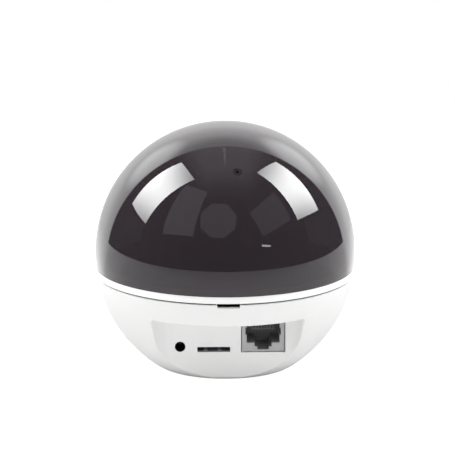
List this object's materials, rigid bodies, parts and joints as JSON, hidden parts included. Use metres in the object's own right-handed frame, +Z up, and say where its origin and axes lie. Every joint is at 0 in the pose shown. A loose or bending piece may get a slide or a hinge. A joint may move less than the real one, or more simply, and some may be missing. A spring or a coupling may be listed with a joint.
{
  "type": "security camera",
  "caption": "Ball-shaped pan and tilt security camera: white base with a socket recess, trim ring, smoke-tinted dome and a motorised camera head inside.",
  "frame": {"origin": "centre of the foot ring on the table, under the ball", "axes": "+Z up, sockets face -Y, the camera lens faces +Y at rest"},
  "size_m": [0.0944, 0.0944, 0.0882],
  "materials": {
    "white_plastic": "satin moulded white plastic",
    "gloss_white": "polished white plastic",
    "grey_plastic": "matte light grey moulded plastic",
    "pale_silicone": "matte pale silicone",
    "smoke_dome": "polished smoke-tinted clear plastic",
    "black_plastic": "fine satin black plastic",
    "gloss_black": "polished black plastic",
    "circuit_board": "green solder mask on glass-fibre board",
    "chip_black": "moulded black chip package",
    "aluminium": "plain extruded aluminium",
    "bare_metal": "stamped plated sheet steel",
    "steel": "plain zinc-plated steel",
    "gear_plastic": "natural acetal, slightly waxy",
    "cable_grey": "flexible cable jacket",
    "lens_glass": "coated optical glass",
    "emitter_clear": "dark clear infrared emitter resin",
    "light_window": "milky light pipe of a lit status light"
  },
  "bodies": {
    "base": {"base_shell": "white_plastic", "board_screw_1": "steel", "board_screw_2": "steel", "bottom_cover": "grey_plastic", "card_socket": "bare_metal", "chassis_deck": "black_plastic", "cover_screw_1": "steel", "cover_screw_2": "steel", "cover_screw_3": "steel", "deck_screw_1": "steel", "deck_screw_2": "steel", "deck_screw_3": "steel", "dome_cover": "smoke_dome", "foot_ring": "pale_silicone", "head_cable": "cable_grey", "heat_spreader": "aluminium", "main_board": "circuit_board", "microphone": "bare_metal", "network_jack_contacts": "bare_metal", "network_jack_insert": "grey_plastic", "network_jack_shield": "bare_metal", "network_transformer": "chip_black", "pan_bush": "gear_plastic", "pan_motor": "steel", "power_jack": "black_plastic", "power_jack_pin": "steel", "processor_chip": "chip_black", "radio_antenna": "circuit_board", "radio_module": "bare_metal", "reset_switch": "chip_black", "speaker": "black_plastic", "trim_ring": "gloss_white"},
    "pan_platform": {"turntable": "black_plastic", "pan_gear": "gear_plastic", "pan_retainer": "gear_plastic", "inner_shroud": "black_plastic", "shroud_screw": "steel", "status_light": "light_window", "tilt_yoke": "black_plastic", "tilt_motor": "steel"},
    "camera_head": {"tilt_gear": "gear_plastic", "head_rear_shell": "black_plastic", "head_front_shell": "black_plastic", "face_window": "gloss_black", "lens_barrel": "black_plastic", "lens_glass": "lens_glass", "lens_ring": "black_plastic", "infrared_board": "circuit_board", "sensor_board": "circuit_board", "image_sensor": "chip_black", "filter_switcher": "black_plastic", "infrared_emitter_1": "emitter_clear", "infrared_emitter_2": "emitter_clear", "infrared_emitter_3": "emitter_clear", "infrared_emitter_4": "emitter_clear"},
    "pan_pinion": {"pan_pinion": "gear_plastic"},
    "tilt_pinion": {"tilt_pinion": "gear_plastic"},
    "reset_button": {"reset_button": "grey_plastic"}
  },
  "joints": [
    {"name": "pan_turn", "type": "hinge", "parent": "base", "child": "pan_platform", "pos_m": [0, 0, 0.033], "axis": [0, 0, 1], "range_deg": [-170, 170]},
    {"name": "head_tilt", "type": "hinge", "parent": "pan_platform", "child": "camera_head", "pos_m": [0, 0, 0.0475], "axis": [1, 0, 0], "range_deg": [-15, 90]},
    {"name": "pan_pinion_spin", "type": "hinge", "parent": "base", "child": "pan_pinion", "pos_m": [0, 0.0208, 0.029], "axis": [0, 0, 1], "range_deg": [-570, 570]},
    {"name": "tilt_pinion_spin", "type": "hinge", "parent": "pan_platform", "child": "tilt_pinion", "pos_m": [-0.0161, -0.01001, 0.04345], "axis": [1, 0, 0], "range_deg": [-185, 35]},
    {"name": "reset_press", "type": "slide", "parent": "base", "child": "reset_button", "axis": [0, 0, 1], "range_m": [0, 0.0004], "stiffness_N_per_m": 400, "springref_m": -0.0003}
  ],
  "couplings": [
    {"joint": "pan_pinion_spin", "follows": "pan_turn", "ratio": -3.3333},
    {"joint": "tilt_pinion_spin", "follows": "head_tilt", "ratio": -2}
  ]
}
